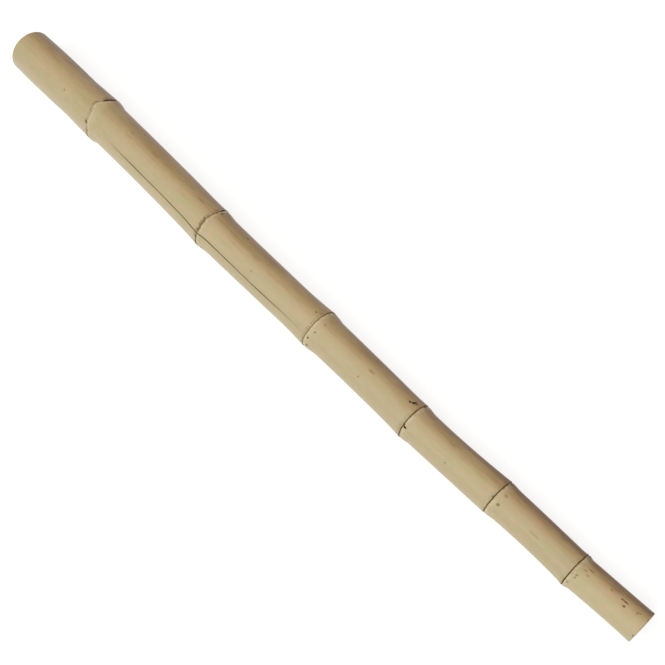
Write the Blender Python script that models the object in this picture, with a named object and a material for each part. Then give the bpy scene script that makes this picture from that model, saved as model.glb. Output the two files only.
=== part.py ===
"""A length of bamboo cane, cut from a stem and dried, lying on its side.

The stem grew in one piece. It is a tapering tube with a ledge round it at each joint, where a
leaf sheath once held, and a wall across the tube inside each joint. Both ends are sawn off, so
the first and the last hollow stand open down to the wall in their joint. The hollows between
are shut in on every side, and they are solid here.

Lengths are in metres. X runs along the cane from its thick end to its thin end, and Z is up.
The origin is on the surface that the cane lies on, under the middle of its outline.
"""

import math
from dataclasses import dataclass

import bmesh
import bpy
from mathutils import Matrix

MM = 0.001

LENGTH = 600 * MM

SIDES = 36
LOOP_SPACING = 13 * MM
FLARE_SHARES = (1, 0.7, 0.45, 0.22, 0.07)
FALL_SHARES = (0, 0.25, 0.5, 0.75, 1)
FILLET_SHARES = (0, 0.15, 0.5)
HOLLOW_STEPS = 3

GROOVE_MIDDLE = 0.6 * MM
GROOVE_END = 1.6 * MM
GROOVE_DEPTH = 0.45 * MM
SHOULDER_DROP = 0.15 * MM
LEAN_REACH = 16 * MM

SAWN_EDGE_BREAK = 0.5 * MM
THICK_WALL = 4.6 * MM
THIN_WALL = 3.2 * MM
INNER_WALL_HALF = 1.6 * MM
INNER_WALL_FILLET = 3.0 * MM

OVALNESS = 0.006
OVAL_TURN = math.radians(50)

SKIN_COLOUR = (0.512, 0.434, 0.262)
CUT_COLOUR = (0.590, 0.465, 0.275)


@dataclass(frozen=True)
class Joint:
    """One ledge round the stem, or a sawn end, which has no flare and no fall.

    along is its distance from the thick end and radius that of the ledge's edge. The stem swells
    over the flare's length up to the edge. A groove follows, where the sheath came off, and then
    the stem falls back over the fall's length. sway is the stem's offset towards +Y. lift is the
    height of the underside over the floor: below zero it is worn flat, and the cane lies on it.
    lean and slant shift the ledge along the stem at its top and at its -Y side, and peak is how
    far its outline runs out in a point near the top.
    """

    along: float
    radius: float
    sway: float
    lift: float
    flare: float = 0.0
    steepness: float = 2
    fall: float = 0.0
    lean: float = 0.0
    slant: float = 0.0
    peak: float = 0.0


@dataclass(frozen=True)
class Loop:
    """One loop of points round the stem, on its skin or on a sawn end or hollow."""

    along: float
    radius: float
    on_skin: bool


@dataclass(frozen=True)
class Span:
    """The stem between two joints: its radius past the first, midway and short of the next."""

    start: float
    middle: float
    end: float
    side_bow: float


THICK_END = Joint(along=0.0, radius=16.8 * MM, sway=-0.6 * MM, lift=0.6 * MM)
THIN_END = Joint(along=LENGTH, radius=10.9 * MM, sway=0.0, lift=0.5 * MM)

FIRST_LEDGE = Joint(
    along=94.5 * MM,
    radius=17.35 * MM,
    flare=28 * MM,
    steepness=1,
    fall=6 * MM,
    sway=-0.5 * MM,
    lift=-0.5 * MM,
    slant=3.5 * MM,
    peak=-5 * MM,
)
SECOND_LEDGE = Joint(
    along=225.5 * MM,
    radius=15.85 * MM,
    flare=14 * MM,
    fall=9 * MM,
    sway=-3.5 * MM,
    lift=0.3 * MM,
)
THIRD_LEDGE = Joint(
    along=334.5 * MM,
    radius=14.9 * MM,
    flare=24 * MM,
    fall=10 * MM,
    sway=-3.4 * MM,
    lift=0.35 * MM,
)
FOURTH_LEDGE = Joint(
    along=423.0 * MM,
    radius=13.4 * MM,
    flare=14 * MM,
    fall=7 * MM,
    sway=-4.4 * MM,
    lift=-0.38 * MM,
    lean=-0.4 * MM,
)
FIFTH_LEDGE = Joint(
    along=492.5 * MM,
    radius=12.7 * MM,
    flare=8 * MM,
    fall=7 * MM,
    sway=-2.5 * MM,
    lift=0.3 * MM,
)
SIXTH_LEDGE = Joint(
    along=553.0 * MM,
    radius=12.0 * MM,
    flare=6 * MM,
    steepness=3,
    fall=3 * MM,
    sway=-2.2 * MM,
    lift=-0.36 * MM,
    lean=-0.5 * MM,
)

LEDGES = (FIRST_LEDGE, SECOND_LEDGE, THIRD_LEDGE, FOURTH_LEDGE, FIFTH_LEDGE, SIXTH_LEDGE)
JOINTS = (THICK_END, *LEDGES, THIN_END)

SPANS = (
    Span(start=16.75 * MM, middle=16.98 * MM, end=16.42 * MM, side_bow=0.0),
    Span(start=16.00 * MM, middle=15.58 * MM, end=15.42 * MM, side_bow=0.60 * MM),
    Span(start=14.90 * MM, middle=14.45 * MM, end=14.05 * MM, side_bow=-0.20 * MM),
    Span(start=13.75 * MM, middle=13.30 * MM, end=13.00 * MM, side_bow=0.30 * MM),
    Span(start=12.55 * MM, middle=12.15 * MM, end=12.52 * MM, side_bow=-0.50 * MM),
    Span(start=12.05 * MM, middle=11.50 * MM, end=11.45 * MM, side_bow=0.45 * MM),
    Span(start=11.10 * MM, middle=10.76 * MM, end=10.90 * MM, side_bow=0.15 * MM),
)

PEAK_ANGLE = math.radians(79)
PEAK_WIDTH = math.radians(20)


def span_index(along):
    """The span that a place along the stem is in."""
    for index, ledge in enumerate(LEDGES):
        if along <= ledge.along:
            return index
    return len(SPANS) - 1


def stem_radius(along):
    """The stem's radius without its ledges: a smooth curve through the span's three radii."""
    index = span_index(along)
    span = SPANS[index]
    first = JOINTS[index].along
    last = JOINTS[index + 1].along - JOINTS[index + 1].flare
    share = min((along - first) / (last - first), 1.0)
    return (
        span.start * (1 - share) * (1 - 2 * share)
        + span.middle * 4 * share * (1 - share)
        + span.end * share * (2 * share - 1)
    )


def rise_past_ledge(along, index):
    """How far the skin stands over the stem past a ledge: in the groove, then on the fall."""
    ledge = JOINTS[index]
    past_groove = along - ledge.along - GROOVE_END
    if past_groove < 0:
        return ledge.radius - GROOVE_DEPTH - SPANS[index].start
    share = min(past_groove / ledge.fall, 1.0)
    shoulder = ledge.radius - SHOULDER_DROP - SPANS[index].start
    return shoulder * (1 - share * share * (3 - 2 * share))


def skin_radius(along):
    """The radius of the skin: the stem, its swelling up to each ledge and its shape past it."""
    index = span_index(along)
    radius = stem_radius(along)
    ahead = JOINTS[index + 1]
    short_of_ledge = ahead.along - along
    if short_of_ledge < ahead.flare:
        rise = ahead.radius - SPANS[index].end
        radius += rise * (1 - short_of_ledge / ahead.flare) ** ahead.steepness
    if index > 0:
        radius += rise_past_ledge(along, index)
    return radius


def wall_thickness(along):
    """The tube's wall, which thins towards the thin end."""
    return THICK_WALL + (THIN_WALL - THICK_WALL) * along / LENGTH


def middle_line(along):
    """(side, height) of the stem's middle: nearly straight between joints, bent a little at each."""
    index = span_index(along)
    first, last = JOINTS[index], JOINTS[index + 1]
    share = (along - first.along) / (last.along - first.along)
    side = first.sway + (last.sway - first.sway) * share
    side += SPANS[index].side_bow * 4 * share * (1 - share)
    low, high = first.radius + first.lift, last.radius + last.lift
    return side, low + (high - low) * share


def ledge_shift(along, angle):
    """How far the skin's outline at a joint leans, or runs out in a peak, at one angle round it."""
    joint = min(JOINTS, key=lambda other: abs(other.along - along))
    reach = max(1 - abs(joint.along - along) / LEAN_REACH, 0.0)
    peak = joint.peak * math.exp(-(((angle - PEAK_ANGLE) / PEAK_WIDTH) ** 2))
    tilt = joint.lean * math.sin(angle) - joint.slant * math.cos(angle)
    return reach * (tilt + peak)


def point_on(loop, angle):
    """A point of a loop: the angle runs from +Y up to +Z."""
    side, height = middle_line(loop.along)
    oval = 1 + OVALNESS * math.cos(2 * angle - OVAL_TURN * span_index(loop.along))
    shift = ledge_shift(loop.along, angle) if loop.on_skin else 0.0
    y = side + loop.radius * oval * math.cos(angle)
    z = height + loop.radius * oval * math.sin(angle)
    return loop.along + shift, y, max(z, 0.0)


def evenly(first, last, spacing):
    """Places between two others, both left out, about this far apart."""
    count = max(round((last - first) / spacing), 1)
    return [first + (last - first) * step / count for step in range(1, count)]


def skin_loops():
    """The loops of the skin, from the thick end to the thin end."""
    places = [SAWN_EDGE_BREAK]
    for ledge in LEDGES:
        before = [ledge.along - ledge.flare * share for share in FLARE_SHARES]
        groove_end = ledge.along + GROOVE_END
        after = [groove_end + ledge.fall * share for share in FALL_SHARES]
        places += evenly(places[-1], before[0], LOOP_SPACING)
        places += before + [ledge.along, ledge.along + GROOVE_MIDDLE] + after
    places += evenly(places[-1], LENGTH - SAWN_EDGE_BREAK, LOOP_SPACING)
    places.append(LENGTH - SAWN_EDGE_BREAK)
    return [Loop(along, skin_radius(along), True) for along in places]


def hollow_loops(ledge, sawn_end):
    """The loops of an open hollow, from the wall in its joint out to the cut."""
    outward = 1 if sawn_end > ledge.along else -1
    wall_face = ledge.along + outward * INNER_WALL_HALF
    fillet_end = wall_face + outward * INNER_WALL_FILLET
    loops = []
    for share in FILLET_SHARES:
        along = wall_face + (fillet_end - wall_face) * share
        rounding = INNER_WALL_FILLET * (1 - math.sqrt(1 - (1 - share) ** 2))
        loops.append(Loop(along, stem_radius(along) - wall_thickness(along) - rounding, False))
    for step in range(HOLLOW_STEPS + 1):
        along = fillet_end + (sawn_end - fillet_end) * step / HOLLOW_STEPS
        loops.append(Loop(along, stem_radius(along) - wall_thickness(along), False))
    return loops


def cane_loops():
    """Every loop of the surface: out of the thick end's hollow, along the skin, into the other."""
    skin = skin_loops()
    thick_rim = Loop(0.0, skin[0].radius - SAWN_EDGE_BREAK, False)
    thin_rim = Loop(LENGTH, skin[-1].radius - SAWN_EDGE_BREAK, False)
    into_thin_end = hollow_loops(SIXTH_LEDGE, LENGTH)[::-1]
    return hollow_loops(FIRST_LEDGE, 0.0) + [thick_rim] + skin + [thin_rim] + into_thin_end


def unit_tube(mesh, count):
    """A closed tube of radius 1 along X with a loop of points at each whole number below count."""
    upright = Matrix.Rotation(math.radians(90), 4, "Y")
    bmesh.ops.create_circle(mesh, cap_ends=True, segments=SIDES, radius=1.0, matrix=upright)
    edges = list(mesh.edges)
    for _ in range(count - 1):
        grown = bmesh.ops.extrude_edge_only(mesh, edges=edges)["geom"]
        corners = {part for part in grown if isinstance(part, bmesh.types.BMVert)}
        bmesh.ops.translate(mesh, verts=list(corners), vec=(1, 0, 0))
        edges = [
            part
            for part in grown
            if isinstance(part, bmesh.types.BMEdge) and corners.issuperset(part.verts)
        ]
    bmesh.ops.contextual_create(mesh, geom=edges)


def centre_outline(mesh):
    """Moves the mesh so that the origin is under the middle of its outline."""
    for axis in (0, 1):
        places = [vertex.co[axis] for vertex in mesh.verts]
        middle = (min(places) + max(places)) / 2
        for vertex in mesh.verts:
            vertex.co[axis] -= middle


def make_material(name, colour, roughness):
    """A plain finish with one colour."""
    material = bpy.data.materials.new(name)
    material.use_nodes = True
    shader = material.node_tree.nodes["Principled BSDF"]
    shader.inputs["Base Color"].default_value = (*colour, 1.0)
    shader.inputs["Roughness"].default_value = roughness
    shader.inputs["Metallic"].default_value = 0.0
    return material


def build_culm():
    """The whole cane: a tube made loop by loop, then each loop set to its place and radius."""
    loops = cane_loops()
    mesh = bmesh.new()
    unit_tube(mesh, len(loops))
    for face in mesh.faces:
        on_skin = all(loops[round(vertex.co.x)].on_skin for vertex in face.verts)
        face.material_index = 0 if on_skin else 1
    for vertex in mesh.verts:
        angle = math.atan2(vertex.co.z, vertex.co.y)
        vertex.co = point_on(loops[round(vertex.co.x)], angle)
    centre_outline(mesh)
    bmesh.ops.recalc_face_normals(mesh, faces=mesh.faces)

    culm = bpy.data.objects.new("culm", bpy.data.meshes.new("culm"))
    bpy.context.scene.collection.objects.link(culm)
    mesh.to_mesh(culm.data)
    mesh.free()
    culm.data.materials.append(make_material("dried skin", SKIN_COLOUR, 0.42))
    culm.data.materials.append(make_material("sawn end and hollow", CUT_COLOUR, 0.75))
    culm.data.shade_smooth()
    culm.data.set_sharp_from_angle(angle=math.radians(35))
    return culm


def main():
    """Clears the scene and builds the cane."""
    for other in list(bpy.data.objects):
        bpy.data.objects.remove(other)
    build_culm()


main()
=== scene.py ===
"""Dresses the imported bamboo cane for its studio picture.

The cane is a length of one culm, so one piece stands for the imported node: a closed tube that
starts at the wall in the first joint, comes out of the thick end's hollow, runs along the skin
with its ledges and its drying crack, and goes back in at the thin end to the wall in the last
joint. The form follows the same joints and spans as the solid, and adds what is too fine for it.

Sizes are in millimetres, and points are turned into metres where they are made. The floor's side
and the lamp are in metres. X runs along the cane from its thick end to its thin end, and Z is up.
"""

import logging
import math
from dataclasses import dataclass, replace
from enum import Enum
from typing import Any, Iterable

import bmesh
import bpy
from mathutils import Matrix, Vector, noise


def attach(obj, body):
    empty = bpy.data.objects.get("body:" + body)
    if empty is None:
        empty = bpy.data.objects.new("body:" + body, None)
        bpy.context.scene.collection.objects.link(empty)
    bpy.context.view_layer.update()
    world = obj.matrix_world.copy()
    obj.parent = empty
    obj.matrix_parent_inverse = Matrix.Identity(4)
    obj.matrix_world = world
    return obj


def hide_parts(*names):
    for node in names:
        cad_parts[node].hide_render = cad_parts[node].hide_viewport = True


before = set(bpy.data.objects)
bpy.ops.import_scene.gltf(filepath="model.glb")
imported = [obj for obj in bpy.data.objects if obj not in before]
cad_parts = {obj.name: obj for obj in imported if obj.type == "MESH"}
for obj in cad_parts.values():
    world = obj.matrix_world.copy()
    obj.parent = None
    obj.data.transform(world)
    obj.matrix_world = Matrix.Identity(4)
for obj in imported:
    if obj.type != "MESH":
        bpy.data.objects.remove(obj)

LOG = logging.getLogger("cane")
MM = 0.001
MAP_SIDE = 302.0

Colour = tuple[float, float, float]
Table = tuple[tuple[float, float], ...]
Socket = bpy.types.NodeSocket


def smooth(share: float) -> float:
    """A share from 0 to 1, held there, with a soft start and a soft end."""
    held = min(max(share, 0.0), 1.0)
    return held * held * (3 - 2 * held)


def read_table(table: Table, place: float) -> float:
    """Reads a table of places and values, going softly from each value to the next.

    Args:
        table: The places, in rising order, each with its value.
        place: The place to read it at.

    Returns:
        The value there, which is 0 for a table with nothing in it.
    """
    for (first, low), (last, high) in zip(table, table[1:]):
        if place <= last:
            return low + (high - low) * smooth((place - first) / (last - first))
    return table[-1][1] if table else 0.0


def put_in_scene(mesh: bmesh.types.BMesh, name: str) -> bpy.types.Object:
    """Makes a finished mesh into an object of the scene, at the origin.

    Args:
        mesh: The mesh, which is freed.
        name: The object's name.

    Returns:
        The object.
    """
    thing = bpy.data.objects.new(name, bpy.data.meshes.new(name))
    mesh.to_mesh(thing.data)
    mesh.free()
    bpy.context.scene.collection.objects.link(thing)
    return thing


class Zone(Enum):
    """The finishes that the culm's surface wears, in the order of its material slots."""

    SKIN = 0
    SAWN = 1
    LINING = 2


class Tint(Enum):
    """What a mark on the skin is, with its colour. The soot tint also paints one long streak of
    shade.
    """

    SOOT_AND_SHADE = (0.022, 0.009, 0.002)
    RUST = (0.130, 0.048, 0.014)
    BROWN = (0.150, 0.090, 0.028)


class Patch(Enum):
    """A part of the culm's surface on the flat map that its finishes are baked to.

    The first two numbers say where it lies on the map. The third is the place along the stem that
    its unrolled length starts from, and a patch that is seen along the stem has none.
    """

    FIRST_SKIN = (3.0, 57.0, 0.0)
    MIDDLE_SKIN = (3.0, 163.5, 200.0)
    LAST_SKIN = (3.0, 257.5, 400.0)
    THICK_LINING = (208.5, 42.0, 0.0)
    THIN_LINING = (209.0, 109.5, 556.0)
    THICK_CUT = (281.0, 101.5, None)
    THIN_CUT = (281.0, 131.5, None)
    THICK_WALL = (224.0, 150.0, None)
    THIN_WALL = (249.0, 147.0, None)

    def spot(self, along: float, radius: float, turn: float, angle: float) -> Vector:
        """Where a point of the surface lies on the map.

        Args:
            along: The distance from the thick end.
            radius: The distance from the stem's middle.
            turn: The angle past the crack.
            angle: The angle round the stem, from +Y up to +Z.

        Returns:
            The spot, as shares of the map's side.
        """
        left, middle, start = self.value
        if start is None:
            spot = Vector((left + radius * math.cos(angle), middle + radius * math.sin(angle)))
        else:
            spot = Vector((left + along - start, middle + radius * turn))
        return spot / MAP_SIDE


@dataclass(frozen=True)
class Joint:
    """One ledge round the stem, or a sawn end, which has no flare and no fall.

    The stem swells over the flare's length up to the ledge's edge. A groove follows, where the
    sheath came off, and then the stem falls back over the fall's length. A lift below zero is
    worn flat, and the cane lies on it. edge holds how far the ledge's edge is shifted at angles
    round it, in degrees. ragged is how far it wanders, groove how deep its groove is, dark how
    black its line is, and stain how brown the skin is beside it.
    """

    along: float
    radius: float
    sway: float
    lift: float
    flare: float = 0.0
    steepness: float = 2.0
    fall: float = 0.0
    lean: float = 0.0
    slant: float = 0.0
    peak: float = 0.0
    edge: Table = ()
    ragged: float = 0.0
    groove: float = 1.0
    dark: float = 0.0
    stain: float = 0.0


@dataclass(frozen=True)
class Span:
    """The stem between two joints: its radius past the first, midway and short of the next."""

    start: float
    middle: float
    end: float
    side_bow: float


@dataclass(frozen=True)
class Mark:
    """A spot or streak on the skin, at a distance along the stem and an angle in degrees."""

    along: float
    angle: float
    length: float
    width: float
    strength: float
    tint: Tint


def marks_of(tint: Tint, *rows: tuple[float, float, float, float, float]) -> tuple[Mark, ...]:
    """Marks of one tint, from each one's place along, angle, length, width and strength."""
    return tuple(Mark(*row, tint) for row in rows)


@dataclass(frozen=True)
class Grain:
    """A soft pattern on the stem: the length of its steps along and across, and its detail."""

    along: float
    across: float
    detail: float = 2.0
    roughness: float = 0.5


@dataclass(frozen=True)
class Loop:
    """One loop of points round the stem, and the finish of the band that follows it."""

    along: float
    radius: float
    zone: Zone
    on_skin: bool = False
    wall_share: float = 0.0


FIRST_EDGE = (
    (-20.0, 4.2), (24.0, 4.3), (35.0, 3.6), (51.0, 2.7), (66.0, 2.5), (79.0, 3.3), (92.0, 2.1),
    (108.0, 0.3), (125.0, -0.6), (145.0, 0.3), (180.0, 0.0), (230.0, 0.2), (340.0, 4.2),
)
THIRD_EDGE = ((-20.0, 0.9), (95.0, 0.7), (150.0, 0.1), (230.0, 0.0), (340.0, 0.9))


@dataclass(frozen=True)
class StemForm:
    """The form of the culm: its joints and spans, and what is read from them at any place.

    An edge's table starts and ends at edge_seam, in degrees. The lobes say how many of noise's
    steps fit in the stem's radius.
    """

    length: float = 600.0
    joints: tuple[Joint, ...] = (
        Joint(along=0.0, radius=16.8, sway=-0.6, lift=0.6),
        Joint(
            94.5, 17.35, -0.5, -0.5, 28, 1, 6,
            slant=3.5, peak=-5, edge=FIRST_EDGE, ragged=0.8, groove=0.15, dark=0.0, stain=0.30,
        ),
        Joint(225.5, 15.85, -3.5, 0.3, 14, 2, 9, ragged=0.9, groove=0.6, dark=0.12, stain=1.0),
        Joint(
            334.5, 14.9, -3.4, 0.35, 24, 2, 10,
            edge=THIRD_EDGE, ragged=0.25, groove=0.7, dark=0.38, stain=0.35,
        ),
        Joint(423.0, 13.4, -4.4, -0.38, 14, 2, 7, lean=-0.4, ragged=0.25, dark=0.75, stain=0.40),
        Joint(492.5, 12.7, -2.5, 0.3, 8, 2, 7, ragged=0.20, dark=0.85, stain=0.35),
        Joint(552.6, 12.0, -2.2, -0.36, 6, 3, 3, lean=-0.5, ragged=0.12, dark=1.0, stain=0.30),
        Joint(along=600.0, radius=10.9, sway=0.0, lift=0.5),
    )
    spans: tuple[Span, ...] = (
        Span(start=16.75, middle=16.98, end=16.42, side_bow=0.0),
        Span(start=16.00, middle=15.58, end=15.42, side_bow=0.60),
        Span(start=14.90, middle=14.45, end=14.05, side_bow=-0.20),
        Span(start=13.75, middle=13.30, end=13.00, side_bow=0.30),
        Span(start=12.55, middle=12.15, end=12.52, side_bow=-0.50),
        Span(start=12.05, middle=11.50, end=11.45, side_bow=0.45),
        Span(start=11.10, middle=10.76, end=10.90, side_bow=0.15),
    )
    groove_end: float = 1.3
    groove_depth: float = 0.48
    groove_steep: float = 0.18
    groove_floor: float = 0.36
    shoulder_drop: float = 0.15
    lean_reach: float = 16.0
    ragged_reach: float = 5.0
    ragged_lobes: tuple[float, float] = (3.0, 9.0)
    ragged_fine_share: float = 0.6
    edge_seam: float = 340.0
    peak_angle: float = math.radians(79)
    peak_width: float = math.radians(20)
    thick_wall: float = 4.6
    thin_wall: float = 3.2
    ovalness: float = 0.006
    oval_turn: float = math.radians(50)
    unevenness: float = 0.14
    uneven_length: float = 34.0
    uneven_lobes: float = 1.9

    @property
    def ledges(self) -> tuple[Joint, ...]:
        """The joints without the two sawn ends."""
        return self.joints[1:-1]

    def span_index(self, along: float) -> int:
        """Finds the span that a place along the stem is in.

        Args:
            along: The distance from the thick end.

        Returns:
            The span's number.
        """
        for index, ledge in enumerate(self.ledges):
            if along <= ledge.along:
                return index
        return len(self.spans) - 1

    def nearest_ledge(self, along: float) -> Joint:
        """The ledge that is nearest to a place along the stem."""
        return min(self.ledges, key=lambda ledge: abs(ledge.along - along))

    def stem_radius(self, along: float) -> float:
        """The radius without the ledges: a smooth curve through the span's three radii.

        Args:
            along: The distance from the thick end.

        Returns:
            The radius there.
        """
        index = self.span_index(along)
        span = self.spans[index]
        first = self.joints[index].along
        last = self.joints[index + 1].along - self.joints[index + 1].flare
        share = min((along - first) / (last - first), 1.0)
        return (
            span.start * (1 - share) * (1 - 2 * share)
            + span.middle * 4 * share * (1 - share)
            + span.end * share * (2 * share - 1)
        )

    def rise_past_ledge(self, along: float, index: int) -> float:
        """How far the skin stands over the stem past a ledge.

        Args:
            along: The distance from the thick end.
            index: The number of the joint that the ledge is on.

        Returns:
            The height over the stem, in the groove and then on the fall.
        """
        ledge = self.joints[index]
        past = along - ledge.along
        edge = ledge.radius - self.spans[index].start
        if past < self.groove_end:
            rest = self.groove_end - self.groove_floor
            dip = smooth(past / self.groove_steep) * (1 - smooth((past - self.groove_floor) / rest))
            depth = self.groove_depth * ledge.groove
            return edge - depth * dip - self.shoulder_drop * past / self.groove_end
        share = min((past - self.groove_end) / ledge.fall, 1.0)
        return (edge - self.shoulder_drop) * (1 - smooth(share))

    def skin_radius(self, along: float) -> float:
        """The radius of the skin: the stem, its swelling up to each ledge and its shape past it.

        Args:
            along: The distance from the thick end.

        Returns:
            The radius there, before the unevenness and the crack.
        """
        index = self.span_index(along)
        radius = self.stem_radius(along)
        ahead = self.joints[index + 1]
        short_of_ledge = ahead.along - along
        if short_of_ledge < ahead.flare:
            rise = ahead.radius - self.spans[index].end
            radius += rise * (1 - short_of_ledge / ahead.flare) ** ahead.steepness
        if index > 0:
            radius += self.rise_past_ledge(along, index)
        return radius

    def hollow_radius(self, along: float) -> float:
        """The radius of the tube's hollow, whose wall thins towards the thin end."""
        wall = self.thick_wall + (self.thin_wall - self.thick_wall) * along / self.length
        return self.stem_radius(along) - wall

    def middle_line(self, along: float) -> tuple[float, float]:
        """Where the stem's middle is, nearly straight between joints and bent a little at each.

        Args:
            along: The distance from the thick end.

        Returns:
            Its offset towards +Y and its height.
        """
        index = self.span_index(along)
        first, last = self.joints[index], self.joints[index + 1]
        share = (along - first.along) / (last.along - first.along)
        side = first.sway + (last.sway - first.sway) * share
        side += self.spans[index].side_bow * 4 * share * (1 - share)
        low, high = first.radius + first.lift, last.radius + last.lift
        return side, low + (high - low) * share

    def ledge_shift(self, along: float, angle: float) -> float:
        """How far the skin's outline at a joint is shifted along the stem.

        Args:
            along: The distance from the thick end.
            angle: The angle round the stem, from +Y up to +Z.

        Returns:
            The shift from the ledge's lean, its point and its ragged edge.
        """
        ledge = min(self.joints, key=lambda joint: abs(joint.along - along))
        away = abs(ledge.along - along)
        beside = math.remainder(angle - self.peak_angle, math.tau)
        peak = ledge.peak * math.exp(-((beside / self.peak_width) ** 2))
        tilt = ledge.lean * math.sin(angle) - ledge.slant * math.cos(angle)
        turned = math.degrees(angle) % 360
        tilt += read_table(ledge.edge, turned - 360 if turned > self.edge_seam else turned)
        coarse, fine = (
            noise.noise((lobes * math.cos(angle), lobes * math.sin(angle), ledge.along))
            for lobes in self.ragged_lobes
        )
        ragged = ledge.ragged * (coarse + self.ragged_fine_share * fine)
        lean_share = max(1 - away / self.lean_reach, 0.0)
        return lean_share * (tilt + peak) + smooth(1 - away / self.ragged_reach) * ragged

    def oval(self, along: float, angle: float) -> float:
        """How far from round the stem is: its radius at an angle as a share of the mean."""
        turn = self.oval_turn * self.span_index(along)
        return 1 + self.ovalness * math.cos(2 * angle - turn)

    def worn_by(self, along: float, angle: float) -> float:
        """How far the skin lies under its round form, by its unevenness."""
        side, up = self.uneven_lobes * math.cos(angle), self.uneven_lobes * math.sin(angle)
        return self.unevenness * (1 + noise.noise((along / self.uneven_length, side, up))) / 2


@dataclass(frozen=True)
class DryingCrack:
    """The long fine crack down one side of the stem.

    path holds places that it passes, as the distance along the stem and the angle in degrees.
    """

    path: Table = (
        (-1.0, 122.0), (112.0, 122.5), (124.0, 123.8), (139.0, 125.4), (160.0, 125.7),
        (190.0, 125.0), (208.0, 125.3), (222.5, 127.3), (227.0, 127.5), (232.0, 126.3),
        (255.0, 126.9), (277.0, 128.0), (300.0, 127.4), (316.0, 126.2), (334.0, 125.5),
        (601.0, 125.0),
    )
    start: float = 108.0
    full_from: float = 152.0
    full_to: float = 280.0
    end: float = 345.0
    depth: float = 0.45
    half_width: float = 0.26
    column_squeeze: float = 0.8
    squeezed_reach: float = 0.12

    def angle_at(self, along: float) -> float:
        """The crack's angle round the stem, in radians, at a distance from the thick end."""
        return math.radians(read_table(self.path, along))

    def open_at(self, along: float) -> float:
        """How open the crack is.

        Args:
            along: The distance from the thick end.

        Returns:
            0 where it is closed, and 1 where it has its full width.
        """
        opens = smooth((along - self.start) / (self.full_from - self.start))
        closes = smooth((self.end - along) / (self.end - self.full_to))
        return opens * closes

    def column_offset(self, even: float) -> float:
        """Draws a column in towards the crack from its even angle past it, from -pi to pi."""
        pull = self.column_squeeze * self.squeezed_reach
        return (even - pull * math.tanh(even / self.squeezed_reach)) * math.pi / (math.pi - pull)

    def depth_at(self, along: float, past: float) -> float:
        """How deep the crack is, at a distance round the stem from its middle."""
        return self.depth * self.open_at(along) * (1 - smooth(abs(past) / self.half_width))


class Signal:
    """A number that changes over a surface. Python's operators add the Math nodes."""

    def __init__(self, recipe: "Recipe", socket: Socket) -> None:
        """Wraps a socket of a recipe."""
        self.recipe = recipe
        self.socket = socket

    def _math(self, operation: str, *values: "Signal | float") -> "Signal":
        """Adds a Math node on these values."""
        node = self.recipe.add("ShaderNodeMath", {"operation": operation}, dict(enumerate(values)))
        return Signal(self.recipe, node.outputs[0])

    def __add__(self, other: "Signal | float") -> "Signal":
        """The sum."""
        return self._math("ADD", self, other)

    def __sub__(self, other: "Signal | float") -> "Signal":
        """The difference."""
        return self._math("SUBTRACT", self, other)

    def __rsub__(self, other: float) -> "Signal":
        """The difference from a number."""
        return self._math("SUBTRACT", other, self)

    def __mul__(self, other: "Signal | float") -> "Signal":
        """The product."""
        return self._math("MULTIPLY", self, other)

    def __abs__(self) -> "Signal":
        """The size without its sign."""
        return self._math("ABSOLUTE", self)

    __radd__ = __add__
    __rmul__ = __mul__

    def most(self, other: "Signal | float") -> "Signal":
        """The larger of two."""
        return self._math("MAXIMUM", self, other)

    def rising(self, low: float, high: float) -> "Signal":
        """A mask that goes softly from 0 where this is low to 1 where it is high."""
        return self.recipe.ranged(self, low, high, 0.0, 1.0)

    def falling(self, low: float, high: float) -> "Signal":
        """A mask that goes softly from 1 where this is low to 0 where it is high."""
        return self.recipe.ranged(self, low, high, 1.0, 0.0)


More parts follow.
